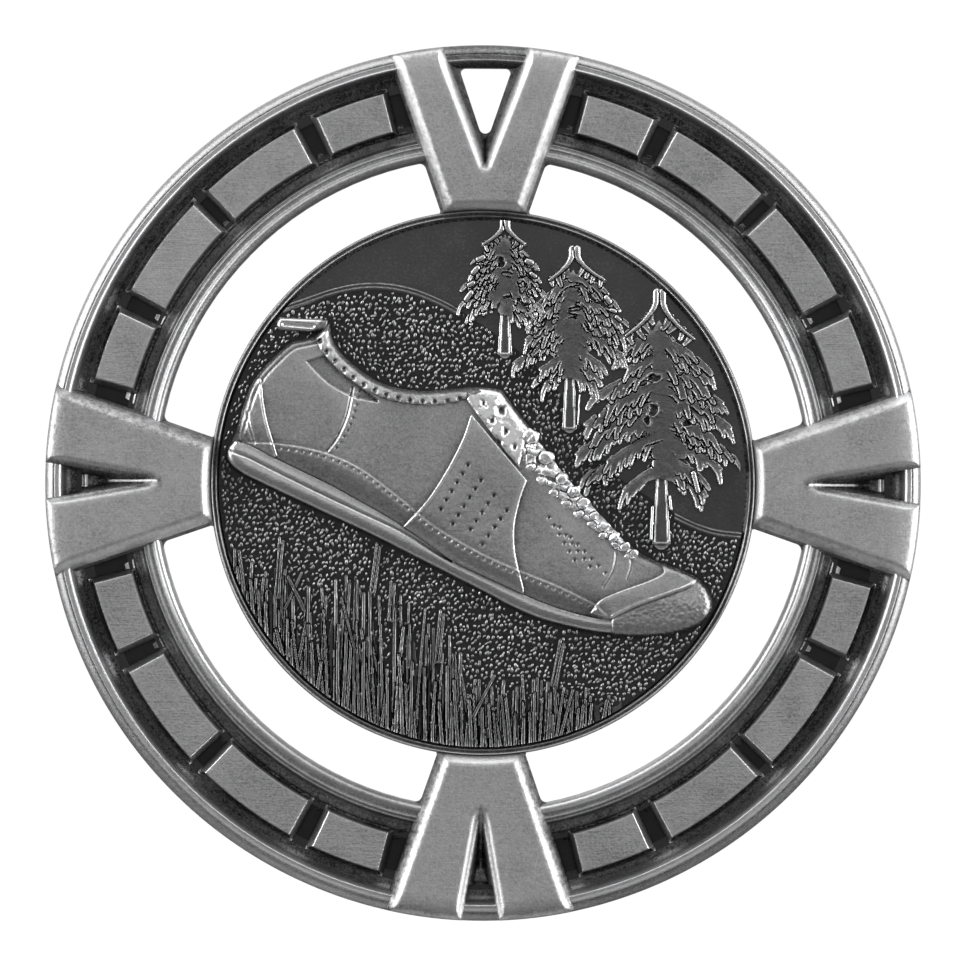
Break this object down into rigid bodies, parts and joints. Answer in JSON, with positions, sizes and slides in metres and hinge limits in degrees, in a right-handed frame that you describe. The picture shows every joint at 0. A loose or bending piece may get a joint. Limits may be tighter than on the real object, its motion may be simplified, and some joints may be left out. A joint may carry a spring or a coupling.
{
  "type": "sports finisher medal",
  "caption": "Round openwork cast medal: a running scene on a central disc, held by notched arms in a channelled ring with raised blocks, with a ribbon opening at the top.",
  "frame": {"origin": "centre of the disc, on the flat back", "axes": "+Z towards the ribbon opening, -Y out of the face, +Y out of the flat back, +X to the right of someone looking at the face"},
  "size_m": [0.0635, 0.0032, 0.0634],
  "materials": {
    "antique_silver": "antique silver plate, worn and softly grained",
    "dark_patina": "antique silver plate with dark patina left in the recesses",
    "bright_silver": "antique silver plate polished bright on the high points"
  },
  "bodies": {
    "root": {"ring_plate": "dark_patina", "outer_rim": "antique_silver", "inner_rim": "antique_silver", "arm_top": "antique_silver", "arm_right": "antique_silver", "arm_bottom": "antique_silver", "arm_left": "antique_silver", "block_01": "antique_silver", "block_02": "antique_silver", "block_03": "antique_silver", "block_04": "antique_silver", "block_05": "antique_silver", "block_06": "antique_silver", "block_07": "antique_silver", "block_08": "antique_silver", "block_09": "antique_silver", "block_10": "antique_silver", "block_11": "antique_silver", "block_12": "antique_silver", "block_13": "antique_silver", "block_14": "antique_silver", "block_15": "antique_silver", "block_16": "antique_silver", "disc_plate": "dark_patina", "disc_rim": "antique_silver", "hillside": "dark_patina", "meadow": "dark_patina", "ridge_left": "dark_patina", "ridge_right": "dark_patina", "grass": "dark_patina", "tree_left": "dark_patina", "tree_middle": "dark_patina", "tree_right": "dark_patina", "shoe_sole": "antique_silver", "shoe_upper": "antique_silver", "shoe_toe_cap": "antique_silver", "shoe_heel_counter": "antique_silver", "shoe_saddle": "antique_silver", "shoe_collar": "bright_silver", "shoe_eyestay": "bright_silver", "shoe_laces": "bright_silver", "shoe_pull_tab": "antique_silver"}
  },
  "joints": []
}
